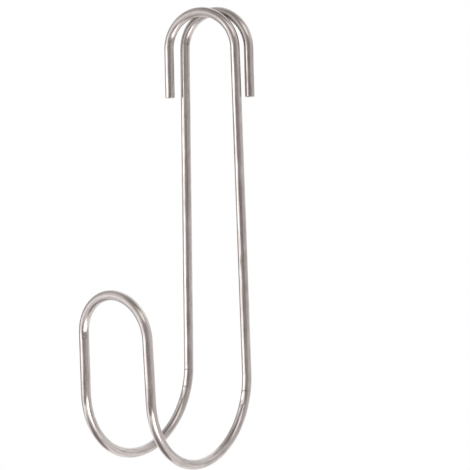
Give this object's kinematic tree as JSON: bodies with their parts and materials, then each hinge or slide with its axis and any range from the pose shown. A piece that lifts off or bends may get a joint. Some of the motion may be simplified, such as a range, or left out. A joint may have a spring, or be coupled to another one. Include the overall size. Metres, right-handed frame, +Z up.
{
  "type": "hose hanger",
  "caption": "Bent steel rod hanger whose crossed top hooks straddle a pipe or tap, with long legs, a deep trough for coiled hose and a front retaining loop.",
  "frame": {"origin": "the point of the pipe that the hooks bear on: under their crowns, midway between the long legs and in the plane of the legs", "axes": "+Z up along the legs; +X towards the leg whose hook passes in front; -Y towards the front loop"},
  "size_m": [0.0578, 0.1072, 0.2775],
  "materials": {
    "bent_rod": "drawn stainless steel, lightly polished, with burnished bends"
  },
  "bodies": {
    "root": {"bent_rod": "bent_rod"}
  },
  "joints": []
}
